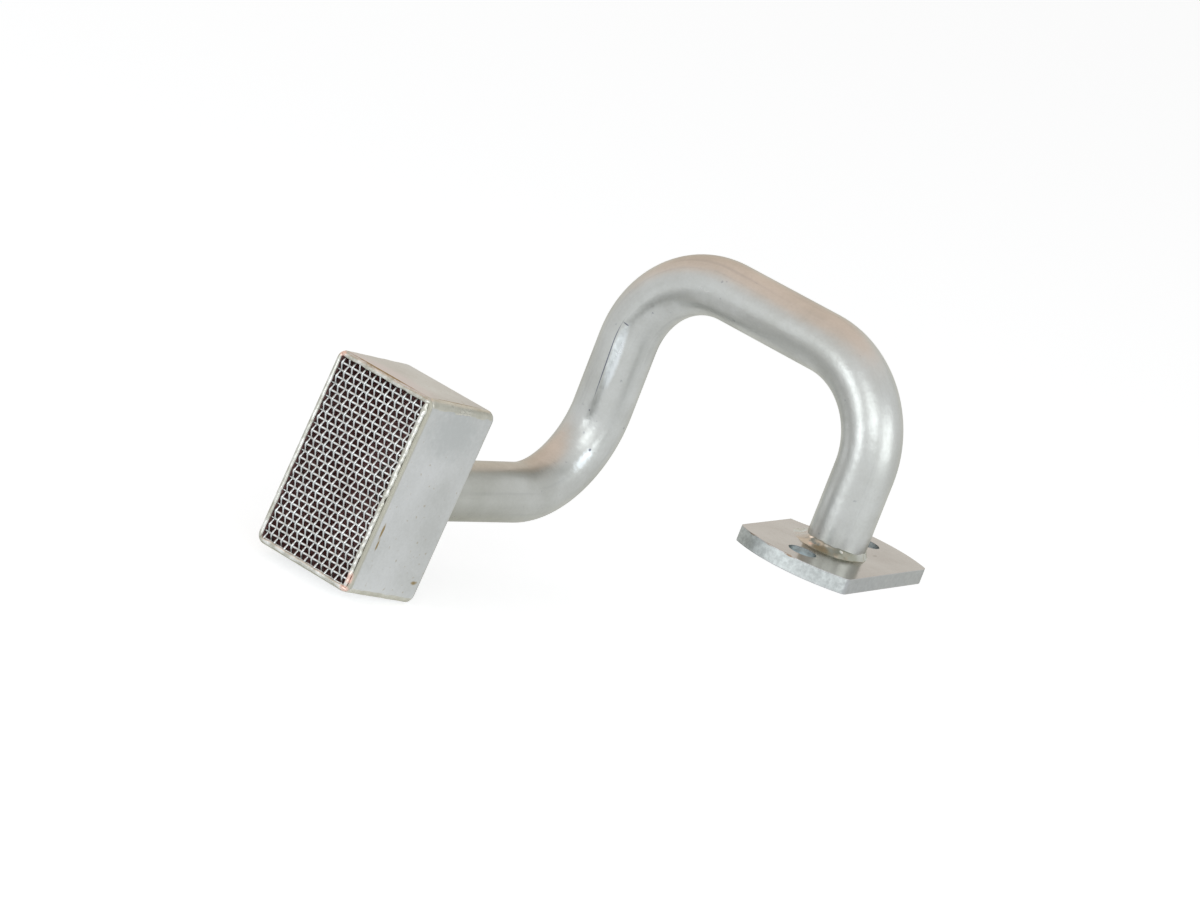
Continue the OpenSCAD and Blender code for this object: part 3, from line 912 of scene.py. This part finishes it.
# %% [markdown]
# ## Floor, light and surroundings
# Bright metal shows its surroundings more than itself, so the part stands in a white room. The floor is pale
# paper. It glows a little for the camera and for reflections, which lifts it to white where it is lit, and
# the part's shadow stays.

# %% White floor
FLOOR_SIZE, FLOOR_GAP, FLOOR_GLOW, FLOOR_MIRRORED = 6, 0.5 * MM, 0.55, 0.5
bm = bmesh.new()
bmesh.ops.create_grid(bm, x_segments=1, y_segments=1, size=FLOOR_SIZE)
bmesh.ops.translate(bm, verts=bm.verts, vec=(0, 0, cad_low.z - FLOOR_GAP))
mesh = bpy.data.meshes.new("floor")
bm.to_mesh(mesh)
bm.free()
floor = bpy.data.objects.new("floor", mesh)
scene.collection.objects.link(floor)
paper = bpy.data.materials.new("white_paper")
paper.use_nodes = True
tree = paper.node_tree
seen = tree.nodes.new("ShaderNodeLightPath").outputs
shader = tree.nodes["Principled BSDF"]
shader.inputs["Base Color"].default_value = (0.8, 0.8, 0.8, 1)
shader.inputs["Roughness"].default_value = 0.9
shader.inputs["Specular IOR Level"].default_value = 0.0
shader.inputs["Emission Color"].default_value = (1, 1, 1, 1)
lift = put(tree, "Math", {0: seen["Is Glossy Ray"], 1: FLOOR_MIRRORED}, operation="MULTIPLY")
feed(tree, shader.inputs["Emission Strength"], sum_of(tree, seen["Is Camera Ray"], FLOOR_GLOW, lift))
floor.data.materials.append(paper)
print("floor lies", FLOOR_GAP / MM, "mm under the part")

# %% [markdown]
# What the camera and the reflections see of the room is white, while the light that the room sheds is half
# as strong, so that the lamps still model the part. Behind the part and overhead the room turns to a warm
# tone in reflections only, which tints what faces upwards, as a ceiling does.

# %% White surroundings
CEILING, WARM_SIDE = (1.10, 0.89, 0.76, 1), (-0.58, 0.155, 0.8)
world = bpy.data.worlds.new("white_room")
world.use_nodes = True
scene.world = world
tree = world.node_tree
seen = tree.nodes.new("ShaderNodeLightPath").outputs
mirrored = put(tree, "Math", {0: seen["Is Glossy Ray"], 1: seen["Is Transmission Ray"]}, operation="MAXIMUM")
either = put(tree, "Math", {0: seen["Is Camera Ray"], 1: mirrored}, operation="MAXIMUM")
toward = put(tree, "TexCoord", {}, output="Generated")
facing = put(tree, "VectorMath", {0: toward, 1: WARM_SIDE}, output="Value", operation="DOT_PRODUCT")
overhead = put(tree, "MapRange", {"Value": facing, "From Min": 0.48, "From Max": 0.9},
               interpolation_type="SMOOTHSTEP")
overhead = put(tree, "Math", {0: overhead, 1: mirrored}, operation="MULTIPLY")
glow = tree.nodes["Background"]
feed(tree, glow.inputs["Color"], mix(tree, overhead, (1, 1, 1, 1), CEILING))
feed(tree, glow.inputs["Strength"], sum_of(tree, either, 0.5, 0.5))
print("surroundings", world.name, "have", len(tree.nodes), "nodes")

# %% [markdown]
# Three soft lamps give the long highlights: a small one close by on the left, a wide one above the camera
# and one on the right. A lamp's glare is its watts spread over its face, and here it stays at about twice
# the white of the room.

# %% Lamps
LAMP_COLOUR, AIM = (0.94, 0.985, 1.0), Vector((0, 0, 0.02))


def hang_lamp(name, toward, far, width, tall, watts):
    """Hangs a lamp far metres out in a direction, facing the part."""
    lamp = bpy.data.lights.new(name, "AREA")
    lamp.shape, lamp.size, lamp.size_y, lamp.energy = "RECTANGLE", width, tall, watts
    lamp.color = LAMP_COLOUR
    held = bpy.data.objects.new(name, lamp)
    held.location = Vector(toward).normalized() * far + AIM
    held.rotation_mode = "QUATERNION"
    held.rotation_quaternion = Vector(toward).to_track_quat("Z", "Y")
    held.visible_camera = False
    scene.collection.objects.link(held)
    glare = watts / (math.pi * width * tall)
    print(name, "hangs at", [round(x, 2) for x in held.location], "and shines with", round(glare, 2))


hang_lamp("left_lamp", (-0.241, -0.967, 0.087), far=0.50, width=0.19, tall=0.19, watts=0.235)
hang_lamp("wide_lamp", (0.480, -0.768, 0.423), far=2.2, width=1.4, tall=0.95, watts=7.4)
hang_lamp("right_lamp", (0.93, 0.03, 0.34), far=1.3, width=0.95, tall=0.7, watts=3.7)
